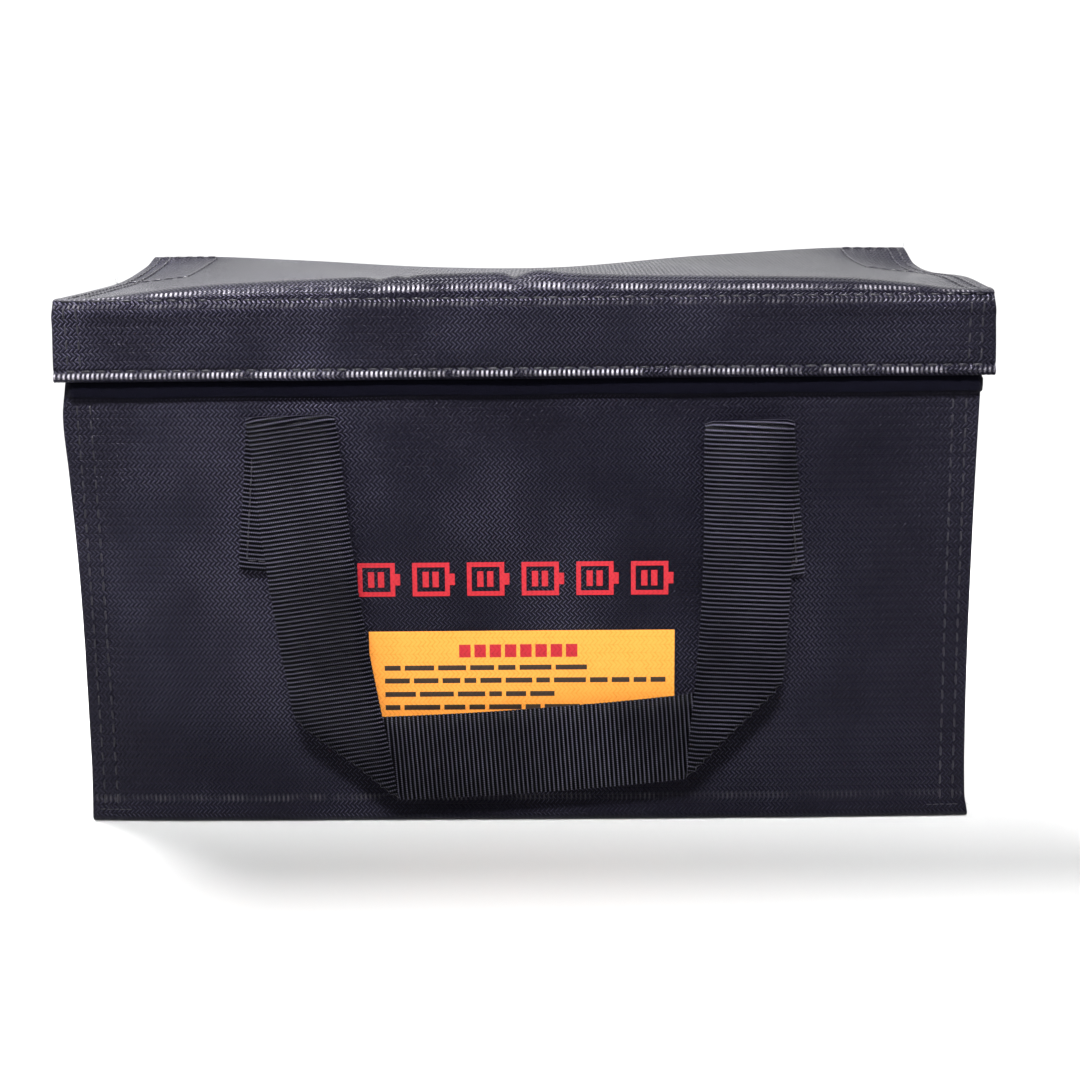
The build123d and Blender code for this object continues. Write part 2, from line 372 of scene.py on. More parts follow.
# This cloth has a row of painted highlight beads 7.3 mm up the front wall.
body_cloth.data.materials.append(coated_cloth("Wrapped_glass_cloth", ((wall_start + 7.3, 1.3, 0.07),)))
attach(body_cloth, "bag")
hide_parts("body_wrap")

# ==== Side gussets ==================================================================
# A separate panel of the same cloth closes each side, set in behind the strip's edges.
# It bellies out a little in the middle, as cloth walls do, and its front edge follows the
# front wall's lean.
gusset_y = lines((-1, -0.85, 8), (-0.85, 0.85, 44), (0.85, 1, 8))
gusset_z = lines((0.9, 12, 9), (12, rim - 0.4, 62))


gusset_belly = profile((0, 0), (15, 0.6), (60, 1.0), (100, 0.7), (124, 0.1), (rim, 0))


def side_out(y, z, side):
    """How far a gusset bellies out from its seams, in mm."""
    reach = (1 - np.abs(y / 64) ** 4) * gusset_belly(z)
    folds = 0.5 * np.sin(y / 19 + side) * np.sin(z / 27 + 1.2 * side)
    crease = -1.1 * hump(y + side * 6 - 0.25 * (z - 60), 0, 4) * hump(z, 22, 26)
    return 0.4 + reach * (1.9 + folds + crease)


for side, word in ((-1, "left"), (1, "right")):
    points = np.zeros((len(gusset_z), len(gusset_y), 3))
    cut = np.zeros((len(gusset_z), len(gusset_y), 2))
    for row, z in enumerate(gusset_z):
        half_depth = half_d - 0.9 - 2.4 * max(0, 1 - z / 3.5) ** 2
        y = gusset_y * half_depth * side
        tuck = np.clip(-y / 64, 0, 1) ** 6 * max(0, 1 - z / 80)
        x = side * (wrap_high.x - 0.6 + side_out(y, z, side) - tuck)
        y = y - float(front_lean(z)) * np.clip(-y / half_depth, 0, 1) ** 2
        points[row] = np.stack([x, y, 0 * y + z], axis=1)
        cut[row] = np.stack([y, 0 * y + z], axis=1)
    gusset = cloth_panel("Side_gusset_" + word + "_cloth", points, cut)
    gusset.data.materials.append(coated)
    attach(gusset, "bag")
    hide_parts("side_gusset_" + word)

# ==== Lining ========================================================================
# A thinner, uncoated glass cloth lines the bag: one strip for the front, base and rear
# and a panel for each side, sewn in at the rim and hanging loose below it.
lining = 0.8                    # thickness
lining_bend = 3                 # radius along the base


def lining_cloth():
    material, tree, surface, math_node = shader(
        "Lining_glass_cloth", Roughness=0.62, Specular_IOR_Level=0.35)
    across, along = flat_cloth_place(tree)
    weave_pitch = 1.6
    wave = [math_node("SINE", math_node("MULTIPLY", place, 2 * math.pi / weave_pitch))
            for place in (across, along)]
    plain = math_node("MULTIPLY", wave[0], wave[1])
    height = math_node("MULTIPLY_ADD", noise(tree, 700.0), 0.4, plain)
    bump(tree, surface, height, 0.08)
    tint = ramp(tree, plain, -1, 1, (0.020, 0.020, 0.023), (0.042, 0.042, 0.047))
    tree.links.new(tint, surface.inputs["Base Color"])
    return material


lining_finish = lining_cloth()
lining_low, lining_high = (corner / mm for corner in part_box("lining_wrap"))
stations = []
lining_y = lining_high.y
lining_floor = lining_low.z
for z in lines((rim, lining_floor + lining_bend, 40)):
    stations.append((-lining_y, z, 1, 0, rim - z))
for step in range(1, 6):
    turn = math.radians(15 * step)
    y = -lining_y + lining_bend - lining_bend * math.cos(turn)
    z = lining_floor + lining_bend - lining_bend * math.sin(turn)
    stations.append((y, z, math.cos(turn), math.sin(turn), rim - lining_bend + 0.8 * step))
for y in lines((lining_bend - lining_y, lining_y - lining_bend, 34)):
    stations.append((y, lining_floor, 0, 1, rim + lining_y + y))
for step in range(1, 6):
    turn = math.radians(90 - 15 * step)
    y = lining_y - lining_bend + lining_bend * math.cos(turn)
    z = lining_floor + lining_bend - lining_bend * math.sin(turn)
    place = rim + 2 * lining_y - lining_bend + 0.8 * step
    stations.append((y, z, -math.cos(turn), math.sin(turn), place))
for z in lines((lining_floor + lining_bend, rim, 40)):
    stations.append((lining_y, z, -1, 0, rim + 2 * lining_y + z))
lining_x = np.linspace(-1, 1, 61) * lining_high.x
points = np.zeros((len(stations), len(lining_x), 3))
cut = np.zeros((len(stations), len(lining_x), 2))
for row, (y, z, in_y, in_z, along) in enumerate(stations):
    slack = 0.5 + 0.5 * np.sin(lining_x / 23 + 0.9 * y / 40) * np.sin(z / 19 + 1) * min(1, (rim - z) / 20)
    slack = slack * (1 - np.abs(lining_x / lining_high.x) ** 6)
    points[row] = np.stack([lining_x, y + slack * in_y, z + 0.6 * slack * in_z], axis=1)
    cut[row] = np.stack([lining_x, 0 * lining_x + along], axis=1)
lining_strip = cloth_panel("Lining_strip", points, cut, lining)
lining_strip.data.materials.append(lining_finish)
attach(lining_strip, "bag")
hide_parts("lining_wrap")
for side, word in ((-1, "left"), (1, "right")):
    y = np.linspace(-1, 1, 35) * (lining_y - 1) * -side
    z = np.linspace(lining_floor + 1, rim, 44)
    across, up = np.meshgrid(y, z)
    slack = 0.7 * np.sin(across / 17 + side) * np.sin(up / 25) * (1 - np.abs(across / lining_y) ** 6)
    x = side * (lining_high.x - 0.3 - np.clip(slack, -0.2, 1) * np.clip((rim - up) / 20, 0, 1))
    panel = cloth_panel("Lining_side_" + word, np.stack([x, across, up], axis=2),
                        np.stack([across, up], axis=2), lining)
    panel.data.materials.append(lining_finish)
    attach(panel, "bag")
    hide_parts("lining_side_" + word)

# ==== Loop tape =====================================================================
# Velvet loop tape, 25 mm wide, is sewn round the front and both sides under the rim.  The
# lid's skirt hides all but its lowest few millimetres.
tape_low, tape_high = (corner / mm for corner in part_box("loop_tape"))
skirt_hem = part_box("lid_wrap")[0].z / mm
free_pile, pressed_pile = 1.5, 0.9


def velvet():
    material, tree, surface, math_node = shader(
        "Loop_pile", Roughness=0.95, Specular_IOR_Level=0.03, Sheen_Weight=0.03, Sheen_Roughness=0.4)
    loops = noise(tree, 2600.0, 3.0, 0.7)
    bump(tree, surface, math_node("MULTIPLY_ADD", noise(tree, 500.0), 0.6, loops), 0.5)
    tint = ramp(tree, loops, 0.35, 0.7, (0.0008, 0.0008, 0.0028), (0.0040, 0.0037, 0.0085))
    tree.links.new(tint, surface.inputs["Base Color"])
    return material


random.seed(7)
tape_z = lines((tape_low.z, tape_low.z + 1.2, 4), (tape_low.z + 1.2, tape_high.z - 1.2, 26),
               (tape_high.z - 1.2, tape_high.z, 4))
half_w = wrap_high.x
corner_bend = 1.2
side_run = lines((tape_high.y, 1.5 - half_d, 64))
path = [(-half_w, y, -1.0, 0.0) for y in side_run]
for step in range(1, 6):
    turn = math.radians(15 * step)
    path.append((-half_w + corner_bend * (1 - math.cos(turn)), corner_bend * (1 - math.sin(turn)) - half_d,
                 -math.cos(turn), -math.sin(turn)))
path += [(x, -half_d, 0.0, -1.0) for x in np.linspace(corner_bend - half_w, 0, 76)]
path += [(-x, y, -out_x, out_y) for x, y, out_x, out_y in reversed(path[:-1])]
tape_edge = np.minimum(tape_z - tape_low.z, tape_high.z - tape_z)
tape_pile = pressed_pile + (free_pile - pressed_pile) * np.clip((skirt_hem - tape_z) / 1.5, 0, 1)
points = np.zeros((len(tape_z), len(path), 3))
cut = np.zeros((len(tape_z), len(path), 2))
for column, (x, y, out_x, out_y) in enumerate(path):
    grow = tape_pile * np.clip(tape_edge / 0.9 + 0.45, 0, 1) ** 0.5
    grow = grow + np.array([random.uniform(-0.07, 0.07) for z in tape_z])
    wander = 0.15 * math.sin(column * 0.21) * (tape_edge < 0.6)
    points[:, column] = np.stack([x + out_x * grow, y + out_y * grow, tape_z + wander], axis=1)
    cut[:, column] = np.stack([0 * tape_z + column * 1.7, tape_z], axis=1)
loop_band = cloth_panel("Loop_tape_band", points, cut, 0.8)
loop_finish = velvet()
loop_band.data.materials.append(loop_finish)
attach(loop_band, "bag")
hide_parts("loop_tape")

# ==== Body stitches =================================================================
# Black bonded thread, lock-stitched at 4.3 mm.  Each stitch is a short run of thread whose
# ends dive into the cloth.


def thread_finish():
    material, tree, surface, math_node = shader(
        "Bonded_thread", Base_Color=(0.016, 0.015, 0.020, 1), Roughness=0.35, Specular_IOR_Level=0.3)
    twist = math_node("SINE", math_node("MULTIPLY", noise(tree, 1500.0), 9.0))
    bump(tree, surface, twist, 0.05)
    return material


thread = thread_finish()
deselect()
bpy.ops.mesh.primitive_uv_sphere_add(segments=8, ring_count=6, radius=1)
pattern = bpy.context.object
bpy.ops.object.mode_set(mode="EDIT")
bpy.ops.mesh.select_all(action="SELECT")
bpy.ops.transform.rotate(value=math.pi / 2, orient_axis="Y", center_override=(0, 0, 0))
bpy.ops.transform.resize(value=(1.72, 0.27, 0.23), center_override=(0, 0, 0))
bpy.ops.object.mode_set(mode="OBJECT")
stitch_shape = np.array([v.co for v in pattern.data.vertices])
stitch_shape[:, 2] += 0.12 - 0.42 * (stitch_shape[:, 0] / 1.72) ** 4
stitch_faces = [tuple(face.vertices) for face in pattern.data.polygons]
bpy.data.objects.remove(pattern)


def sew(name, seams, body, replaced=(), pitch=stitch_pitch, size=1.0):
    """Stitches on cloth faces: each seam is (place, corners), where place(u, v) gives the
    face in mm and corners are the seam's turning points in u and v."""
    vertices, faces = [], []
    for place, corners in seams:
        for start, finish in zip(corners, corners[1:]):
            start, finish = np.array(start, float), np.array(finish, float)
            count = max(1, round(np.linalg.norm(finish - start) / pitch))
            for index in range(count):
                u, v = start + (finish - start) * (index + 0.5) / count
                step = (finish - start) / np.linalg.norm(finish - start) * 0.8
                here = place(u, v)
                along = place(u + step[0], v + step[1]) - place(u - step[0], v - step[1])
                along = along / np.linalg.norm(along)
                out = np.cross(place(u + 0.5, v) - place(u - 0.5, v), place(u, v + 0.5) - place(u, v - 0.5))
                out = out / np.linalg.norm(out)
                across = np.cross(out, along)
                yaw = random.uniform(-0.06, 0.06)
                turned_along = along * math.cos(yaw) + across * math.sin(yaw)
                axes = np.stack([turned_along, np.cross(out, turned_along), out])
                first = len(vertices)
                vertices.extend((here + stitch_shape * size @ axes) * mm)
                faces.extend(tuple(first + corner for corner in face) for face in stitch_faces)
    mesh = bpy.data.meshes.new(name)
    mesh.from_pydata([tuple(v) for v in vertices], [], faces)
    piece = bpy.data.objects.new(name, mesh)
    bpy.context.scene.collection.objects.link(piece)
    deselect()
    piece.select_set(True)
    bpy.context.view_layer.objects.active = piece
    bpy.ops.object.shade_smooth()
    mesh.materials.append(thread)
    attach(piece, body)
    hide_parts(*replaced)


def front_face(x, z):
    return np.array([x, -half_d - float(front_out(x, z)), z])


def rear_face(u, z):
    return np.array([-u, half_d + float(rear_out(-u, z)), z])


def tape_face(x, z):
    return np.array([x, -half_d - (free_pile if z < skirt_hem else pressed_pile) + 0.3, z])


def side_face(side):
    """The gusset's face on one side; the first coordinate runs to the right as it is seen."""
    def place(u, z):
        return np.array([side * (half_w - 0.6 + float(side_out(side * u, z, side))), side * u, z])

    return place


corner_seams = []
tack_seams = []
for place, top in ((front_face, tape_low.z - 1), (rear_face, 150)):
    for side in (-1, 1):
        for inset in body_rows:
            low_x, high_x = (side * float(strip_edge(z, side) - inset) for z in (5, top))
            corner_seams.append((place, ((low_x, 5), (high_x, top))))
        outer, inner = (side * float(strip_edge(4, side) - inset) for inset in (2.2, 12))
        tack_seams.append((place, ((outer, 3.9), (inner, 3.9))))
sew("Corner_seam_stitches", corner_seams, "bag", ["corner_seam_threads"])
sew("Base_corner_stitches", tack_seams, "bag", ["base_corner_threads"], pitch=2.1, size=0.55)
tape_seams = [(tape_face, ((2 - half_w, z), (half_w - 2, z))) for z in (tape_low.z + 1.8, tape_high.z - 1.8)]
sew("Loop_tape_stitches", tape_seams, "bag", ["loop_tape_threads"], pitch=3.2, size=0.75)
rim_seams = [(front_face, ((-126, rim - 1.3), (126, rim - 1.3)))]
rim_seams += [(side_face(side), ((-60, rim - 1.8), (60, rim - 1.8))) for side in (-1, 1)]
sew("Rim_stitches", rim_seams, "bag", ["rim_threads"])

# ==== Handles =======================================================================
# Each handle is one length of 25 mm ribbed nylon webbing.  Its ends are sewn flat to the
# wall, the strap folds over above them and hangs in front, and each lower corner is folded
# along a diagonal, so that both legs lie in front of the grip.
web_half = 12.7
web_thick = 1.5
rib = 1.28
rib_cells = 6
fold_shift = 2.35               # a leg leaves its corner fold this much up and out
corner_radius = 0.95            # the diagonal folds, at the middle of the webbing
top_radius = 1.75               # the folds above the tabs
tab_length = 44.0
tab_splay = math.radians(5.2)
grip_sag = 1.3
wall_gap = 2.65                 # from the wall to the middle of the hanging strap's top fold
hang_out = 2.6                  # how much further out the strap hangs at its lower corners


def nylon():
    material, tree, surface, math_node = shader("Nylon_webbing", Specular_IOR_Level=0.05, Roughness=0.34)
    across, along = flat_cloth_place(tree)
    level = math_node("DIVIDE", along, rib)
    crest = math_node("ABSOLUTE", math_node("SINE", math_node("MULTIPLY", level, math.pi)))
    parity = math_node("FLOORED_MODULO", math_node("FLOOR", level), 2)
    slope = math_node("MULTIPLY", math_node("FRACT", level), 0.9)
    stagger = math_node("MULTIPLY_ADD", parity, 0.5, slope)
    threads = math_node("ADD", math_node("DIVIDE", across, 0.62), stagger)
    yarn = math_node("SINE", math_node("MULTIPLY", threads, 2 * math.pi))
    height = math_node("MULTIPLY_ADD", noise(tree, 2500.0), 0.8, yarn)
    bump(tree, surface, height, 0.05)
    # Painted highlight: a thin bright line on each rib's crest over near-black valleys, stronger in some
    # patches than others.
    lit = math_node("MULTIPLY", math_node("POWER", crest, 9.0), math_node("MULTIPLY_ADD", yarn, 0.4, 0.6))
    mottle = number_ramp(tree, noise(tree, 35.0), 0.3, 0.7, 0.5, 1.3)
    painted_rib_highlight = math_node("MULTIPLY", lit, mottle)
    tint = ramp(tree, painted_rib_highlight, 0.0, 1.0, (0.0001, 0.0001, 0.0008), (0.098, 0.094, 0.132))
    tree.links.new(tint, surface.inputs["Base Color"])
    return material


nylon_finish = nylon()


def fold(spot, flat, corner, angle, radius):
    """Folds the webbing towards +n over a crease through corner, at an angle to its length.
    spot is where each point is now, flat where it lay before any fold: along, across, n."""
    ahead = np.array([math.sin(angle), -math.cos(angle)])
    crease = np.array([math.cos(angle), math.sin(angle)])
    wrapped = np.clip((flat[:, :2] - corner) @ ahead, 0, math.pi * radius)
    turn = wrapped / radius
    beyond = (spot[:, :2] - corner) @ ahead - wrapped
    level = (spot[:, :2] - corner) @ crease
    height = spot[:, 2] - radius
    moved = beyond * np.cos(turn) - height * np.sin(turn)
    plane = np.outer(moved, ahead) + np.outer(level, crease) + corner
    return np.column_stack([plane, beyond * np.sin(turn) + height * np.cos(turn) + radius])


def half_handle(flat, side, low, top):
    """One half of the strap, from the grip's middle: low is its folded lower corner and top
    the fold above the tab, both as (x, z) seen from the front."""
    middle, rise = grip_middle, grip_rise
    grip_half = math.hypot(low[0] - middle[0], low[1] - middle[1])
    rise_x, rise_z = side * (top[0] - low[0]) - fold_shift, top[1] - low[1] - fold_shift
    leg = math.hypot(rise_x, rise_z)
    leg_angle = math.atan2(rise_z, rise_x) - side * rise
    in_fold = math.pi * corner_radius / math.sin(leg_angle / 2)
    lean = (math.atan2(rise_x, rise_z) + tab_splay) / 2
    crest = np.array([grip_half + in_fold + leg, 0.0])
    spot = fold(flat.copy(), flat, crest, math.pi / 2 - lean, top_radius)
    spot = fold(spot, flat, np.array([grip_half, 0.0]), leg_angle / 2, corner_radius)
    share = np.clip((flat[:, 0] - grip_half) / leg, 0, 1)
    x = side * spot[:, 0] * math.cos(rise) - spot[:, 1] * math.sin(rise) + middle[0]
    z = side * spot[:, 0] * math.sin(rise) + spot[:, 1] * math.cos(rise) + middle[1]
    slack = grip_sag * (1 - np.clip(flat[:, 0] / grip_half, 0, 1) ** 2)
    return x + side * 1.6 * np.sin(math.pi * share), z - slack, spot[:, 2], crest[0]


low_corners = ((-50.4, 20.8), (58.1, 28.4))
top_corners = ((-66.3, 120.4), (64.4, 117.6))
grip_middle = [(a + b) / 2 for a, b in zip(*low_corners)]
grip_rise = math.atan2(low_corners[1][1] - low_corners[0][1], low_corners[1][0] - low_corners[0][0])


def handle_strap(name, wall_out, turned):
    """The whole strap with its tabs: a closed band with a rib every 1.28 mm."""
    reach = [half_handle(np.zeros((1, 3)), side, low, top)[3] + math.pi * top_radius + tab_length
             for side, low, top in zip((-1, 1), low_corners, top_corners)]
    along = np.arange(-reach[0], reach[1], rib / rib_cells)
    ring_t = np.concatenate([np.linspace(-1, 1, 13), np.linspace(1, -1, 13)[1:-1]])
    ring_n = np.concatenate([[0], np.ones(11), [0], -np.ones(11)])
    s, t = np.meshgrid(along, ring_t * web_half)
    ridge = np.abs(np.sin(math.pi * s / rib)) ** 0.7
    thick = web_thick / 2 * (0.50 + 0.50 * ridge)
    n = ring_n[:, None] * thick * (1 - 0.35 * (np.abs(t) / web_half) ** 10)
    t = t * (1 + 0.012 * (ridge - 0.5) * (np.abs(ring_t) > 0.99)[:, None])
    flat = np.stack([s.ravel(), t.ravel(), n.ravel()], axis=1)
    x, z, out = np.zeros(len(flat)), np.zeros(len(flat)), np.zeros(len(flat))
    for side, low, top in zip((-1, 1), low_corners, top_corners):
        chosen = side * flat[:, 0] >= 0
        half = flat[chosen] * np.array([side, 1, 1])
        x[chosen], z[chosen], out[chosen] = half_handle(half, side, low, top)[:3]
    below_tabs = np.clip((68 - z) / 14, 0, 1)
    hang = np.maximum(np.clip(out + 0.9, 0, 1), below_tabs) * np.clip((118 - z) / 90, 0, 1)
    y = -half_d - wall_gap - out - wall_out(x, z) - hang_out * hang
    if turned:
        x, y = -x, -y
    shape = np.stack([x, y, z], axis=1).reshape(s.shape + (3,))
    rows, stretch = s.shape
    deselect()
    bpy.ops.mesh.primitive_grid_add(x_subdivisions=stretch - 1, y_subdivisions=rows, size=1)
    strap = bpy.context.object
    strap.name = name
    closed = np.concatenate([shape, shape[:1]])
    strap.data.vertices.foreach_set("co", (closed.reshape(-1, 3) * mm).astype(np.float32).ravel())
    corner = np.zeros(len(strap.data.loops), int)
    strap.data.loops.foreach_get("vertex_index", corner)
    place = np.stack([np.concatenate([t, t[:1]]), np.concatenate([s, s[:1]])], axis=2).reshape(-1, 2)
    strap.data.uv_layers[0].uv.foreach_set("vector", (place[corner] * mm).astype(np.float32).ravel())
    strap.data.update()
    bpy.ops.object.mode_set(mode="EDIT")
    bpy.ops.mesh.select_all(action="SELECT")
    bpy.ops.mesh.remove_doubles(threshold=0.00001)
    bpy.ops.mesh.select_all(action="DESELECT")
    bpy.ops.mesh.select_non_manifold()
    bpy.ops.mesh.fill()
    bpy.ops.mesh.select_all(action="SELECT")
    bpy.ops.mesh.normals_make_consistent(inside=False)
    bpy.ops.object.mode_set(mode="OBJECT")
    bpy.ops.object.shade_smooth_by_angle(angle=math.radians(50))
    strap.data.materials.append(nylon_finish)
    return strap


for word, wall_out, side in (("front", front_out, -1), ("rear", lambda x, z: rear_out(-x, z), 1)):
    strap = handle_strap("Handle_" + word + "_webbing", wall_out, side > 0)
    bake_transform(strap)
    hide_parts(word + "_handle_strap", word + "_handle_tab_left", word + "_handle_tab_right")


def tab_face(side, rear):
    """The sewn tab's face: the first coordinate runs down it and the second to the right."""
    low, top = (low_corners[side > 0], top_corners[side > 0])
    start = half_handle(np.zeros((1, 3)), side, low, top)[3] + math.pi * top_radius
    wall, turned = (rear_out, -1) if rear else (front_out, 1)

    def place(u, v):
        flat = np.array([[start + u, v * side, web_thick / 2]])
        x, z, out = half_handle(flat, side, low, top)[:3]
        y = -half_d - wall_gap - out[0] - float(wall(turned * x[0], z[0]))
        return np.array([turned * x[0], turned * y, z[0]])

    return place


tab_box = ((4, -10.4), (41, -10.4), (41, 10.4), (4, 10.4), (4, -10.4))
for word, rear in (("front", False), ("rear", True)):
    sew("Handle_" + word + "_tab_stitches", [(tab_face(side, rear), tab_box) for side in (-1, 1)],
        "bag", [word + "_tab_threads"], pitch=3.0, size=0.75)

# ==== Front prints ==================================================================
# Two marks are screen-printed on the coating: a row of six red battery outlines, and a yellow
# panel with plain red and dark bars.  The ink is thin, so the weave shows through it.


def ink(name, colour, dark):
    material, tree, surface, math_node = shader(name, Roughness=0.5, Specular_IOR_Level=0.3)
    weave = chevron_weave(tree, math_node)[0]
    bump(tree, surface, math_node("MULTIPLY_ADD", noise(tree, 900.0), 0.2, weave), 0.09)
    mottle = math_node("MULTIPLY_ADD", noise(tree, 420.0, 3.0), 0.5, math_node("MULTIPLY", weave, 0.5))
    tree.links.new(ramp(tree, mottle, 0.25, 0.6, dark, colour), surface.inputs["Base Color"])
    return material


ink_thick = 0.06
weave_shift = 396               # from a height on the wall to its place along the printed cloth


def print_bar(x, z, lift, cells=(2, 2)):
    """One printed block between two limits in x and z, laid on the front wall."""
    across, up = np.meshgrid(np.linspace(*x, cells[0] + 1), np.linspace(*z, cells[1] + 1))
    y = -half_d - front_out(across, up) - lift
    cut = np.stack([across, up + weave_shift], axis=2)
    return cloth_panel("Bar", np.stack([across, y, up], axis=2), cut, ink_thick)


def join_print(name, bars, finish, replaced=()):
    """Makes one piece of several printed blocks in one ink."""
    deselect()
    for bar in bars:
        bar.select_set(True)
    bpy.context.view_layer.objects.active = bars[0]
    bpy.ops.object.join()
    printed = bpy.context.object
    printed.name = name
    printed.data.materials.append(finish)
    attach(printed, "bag")
    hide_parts(*replaced)
    return printed


label_low, label_high = (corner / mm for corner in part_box("label_print"))
yellow = ink("Yellow_ink", (0.90, 0.33, 0.050), (0.70, 0.24, 0.020))
red = ink("Red_ink", (0.42, 0.014, 0.024), (0.28, 0.007, 0.013))
black = ink("Black_ink", (0.035, 0.02, 0.012), (0.02, 0.012, 0.01))
panel = print_bar((label_low.x, label_high.x), (label_low.z, label_high.z), 0.10, (70, 25))
join_print("Label_panel", [panel], yellow, ["label_print"])
heading = [print_bar((x, x + 3.4), (50.0, 53.9), 0.17, (3, 3)) for x in np.arange(-19.9, 15, 4.5)]
join_print("Label_heading_bars", heading, red)
words = []
random.seed(21)
for line_z, line_end in ((46.9, 17.8), (43.0, 41.0), (38.9, 9.8), (34.9, 38.0)):
    word_x = -42.0
    while word_x < line_end - 2:
        word_end = min(word_x + random.uniform(3.5, 11), line_end)
        words.append(print_bar((word_x, word_end), (line_z - 0.75, line_z + 0.75), 0.17, (5, 2)))
        word_x = word_end + 1.2
join_print("Label_line_bars", words, black)

mark_low, mark_high = (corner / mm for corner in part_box("mark_print"))
cell_width, cell_pitch, cell_line = 12.4, 16.0, 1.35
cells = []
for index in range(6):
    left = mark_low.x + index * cell_pitch
    right = left + cell_width - 1.5
    for side_x in (left, right - cell_line):
        cells.append(print_bar((side_x, side_x + cell_line), (mark_low.z, mark_high.z), 0.10, (2, 8)))
    for side_z in (mark_low.z, mark_high.z - cell_line):
        rail = (left + cell_line, right - cell_line)
        cells.append(print_bar(rail, (side_z, side_z + cell_line), 0.10, (8, 2)))
    cells.append(print_bar((right, right + 1.5), (mark_low.z + 3.3, mark_high.z - 3.3), 0.10, (2, 4)))
    for bar in range(2):
        bar_x = left + 3.0 + 2.9 * bar
        cells.append(print_bar((bar_x, bar_x + 1.8), (mark_low.z + 2.7, mark_high.z - 2.7), 0.10, (2, 6)))
join_print("Battery_row_mark", cells, red, ["mark_print"])

# ==== Lid cloth =====================================================================
# The strip carries on up the rear wall, folds over, and forms the lid's top panel and front
# skirt.  It bends along the rear fold, and its sewn front ridge rolls up over the rim.
lid_low, lid_high = (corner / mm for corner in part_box("lid_wrap"))
lid_edge = lid_high.x + 0.3     # the cut edges overhang the side skirts a little
skirt_y = lid_low.y
ridge_seam = 155.4
crest_y = -58.0                 # highest line of the ridge roll
roll_depth = crest_y - skirt_y - 0.3
rear_fold = 1.8                 # radius
lid_rows = (3.5, 7.0)           # stitch rows, from the lid's side edge
hem_turn = 0.7
skirt_spread = profile((lid_low.z, 0.7), (150, 0.1), (ridge_seam, -0.5))
front_crest = profile((-133, 156.2), (-112, 158.3), (-64, 160.4), (-3, 162.1), (28, 161.1), (112, 159.3),
                      (133, 156.6))
rear_crest = profile((-133, 160.8), (-82, 158.9), (-33, 156.0), (11, 155.6), (61, 159.3), (133, 162.2))
left_crest = profile((-66, 155.7), (-27, 155.2), (15, 155.2), (51, 158), (66, 160.5))
right_crest = profile((-66, 156.4), (-31, 157.6), (18, 155.9), (45, 157.0), (66, 161.6))


def panel_height(x, y):
    """Height of the top panel behind the ridge roll."""
    back = np.clip((y - crest_y) / (half_d - crest_y), 0, 1)
    height = (1 - back) * front_crest(x) + back * rear_crest(x)
    height = height - 2.4 * np.sin(math.pi * back ** 0.7) * (1 - 0.5 * np.abs(x / lid_edge))
    height = height + 0.8 * hump(x + 62 + 0.55 * y, 0, 20) * np.sin(math.pi * back)
    height = height + 0.7 * hump(x - 58 + 0.5 * y, 0, 17) * np.sin(math.pi * back)
    creases = 1.7 * hump(x, -2.0, 2.2) + 1.1 * hump(x, -41, 2.6)
    creases = creases - 0.6 * hump(x, 5.5, 4.0) + 0.7 * hump(x, -33, 2.0)
    height = height - creases * hump(y, crest_y - 2, 7)
    side = np.where(np.asarray(x) < 0, left_crest(y), right_crest(y))
    return height + (side - height) * np.exp(-(((lid_edge - np.abs(x)) / 24) ** 2))


def lid_top(x, y):
    """Height of the lid's upper face, with the roll down to the ridge seam."""
    lift = panel_height(x, np.maximum(y, crest_y)) - ridge_seam
    down = np.clip((crest_y - y) / roll_depth, 0, 1)
    return ridge_seam + lift * np.sqrt(1 - down**2)


def skirt_out(x, z):
    """How far the skirt's face stands out from its flat cut."""
    inset = lid_edge - np.abs(x)
    fuller = 0.7 + 0.3 * np.sin(x / 21 + 0.8)
    hem_roll = 0.62 * fuller * hump(z, lid_low.z + 1.5, 1.05) - 0.4 * hump(z, lid_low.z + 3.1, 0.6)
    turn_under = 1 - np.clip((z - lid_low.z) / hem_turn, 0, 1)
    hem_roll = hem_roll - hem_turn * (1 - np.sqrt(1 - turn_under**2))
    ends = hump(x, -104, 38) + hump(x, 112, 30)
    under_seam = (0.25 + 0.75 * ends) * hump(z, ridge_seam - 3.6, 2.3)
    soft = 0.16 * np.sin(x / 29 + 2) * np.sin((z - lid_low.z) / 6) + 0.12 * np.sin(x / 11 + z / 5)
    pinch = -0.5 * hump(z, ridge_seam, 0.7)
    return hem_roll + under_seam + soft + pinch + seam_groove(inset, z, lid_rows, 0.3)


lid_lines = []                  # for each line of the grid: x, y, z and the place along the strip
along = 0.0
for z in lines((lid_low.z, lid_low.z + hem_turn, 7), (lid_low.z + hem_turn, lid_low.z + 4.4, 17),
               (lid_low.z + 4.4, ridge_seam - 6, 16), (ridge_seam - 6, ridge_seam, 18)):
    x = columns * (lid_edge + skirt_spread(z))
    lid_lines.append((x, skirt_y - skirt_out(x, z), z + 0 * x, z))
for step in range(1, 17):
    turn = math.radians(90 - 90 * step / 16)
    x = columns * (lid_edge + skirt_spread(ridge_seam) * math.sin(turn))
    y = crest_y - roll_depth * math.sin(turn) - 0.35 * math.sin(2 * turn) ** 2 + 0 * x
    z = ridge_seam + (panel_height(x, crest_y + 0 * x) - ridge_seam) * math.cos(turn)
    z = z + 0.25 * math.sin(2 * turn)
    lid_lines.append((x, y, z, ridge_seam + 0.75 * step))
top_start = ridge_seam + 0.75 * 16
for y in lines((crest_y, half_d - rear_fold, 84))[1:]:
    x = columns * lid_edge
    lid_lines.append((x, y + 0 * x, panel_height(x, y + 0 * x), top_start + y - crest_y))
rear_start = top_start + half_d - rear_fold - crest_y
